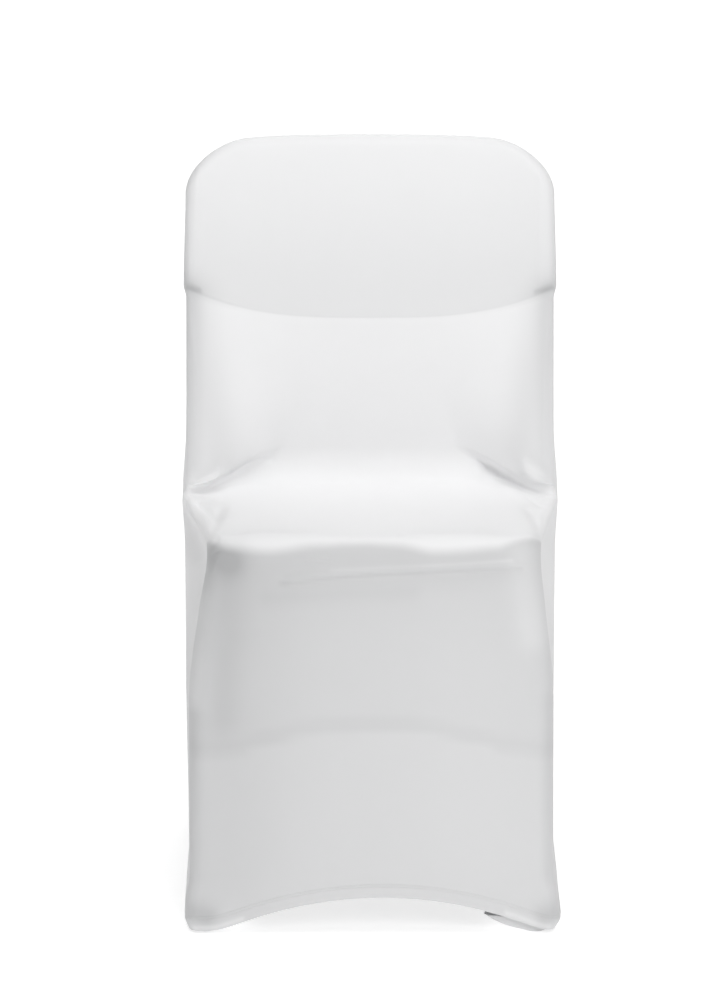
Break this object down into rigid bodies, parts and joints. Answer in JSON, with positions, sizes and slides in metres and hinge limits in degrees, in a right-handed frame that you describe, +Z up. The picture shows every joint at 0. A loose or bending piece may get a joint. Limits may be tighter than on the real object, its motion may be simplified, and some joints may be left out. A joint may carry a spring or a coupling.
{
  "type": "fitted stretch-knit folding chair cover",
  "caption": "Taut white knit cover shaped by a folding chair: tall back, seat, straight skirt with bowed hems and pocketed feet; hollow and open below.",
  "frame": {"origin": "on the floor, at the middle of the cover's width and depth", "axes": "+Z up, -Y towards the front of the seat, +X to the right as seen from the front"},
  "size_m": [0.4461, 0.4877, 0.8632],
  "materials": {
    "cloth": "matte fine stretch knit, slight sheen"
  },
  "bodies": {
    "root": {"front_panel": "cloth", "rear_panel": "cloth", "side_panel_left": "cloth", "side_panel_right": "cloth", "foot_pocket_front_left": "cloth", "foot_pocket_front_right": "cloth", "foot_pocket_rear_left": "cloth", "foot_pocket_rear_right": "cloth"}
  },
  "joints": []
}
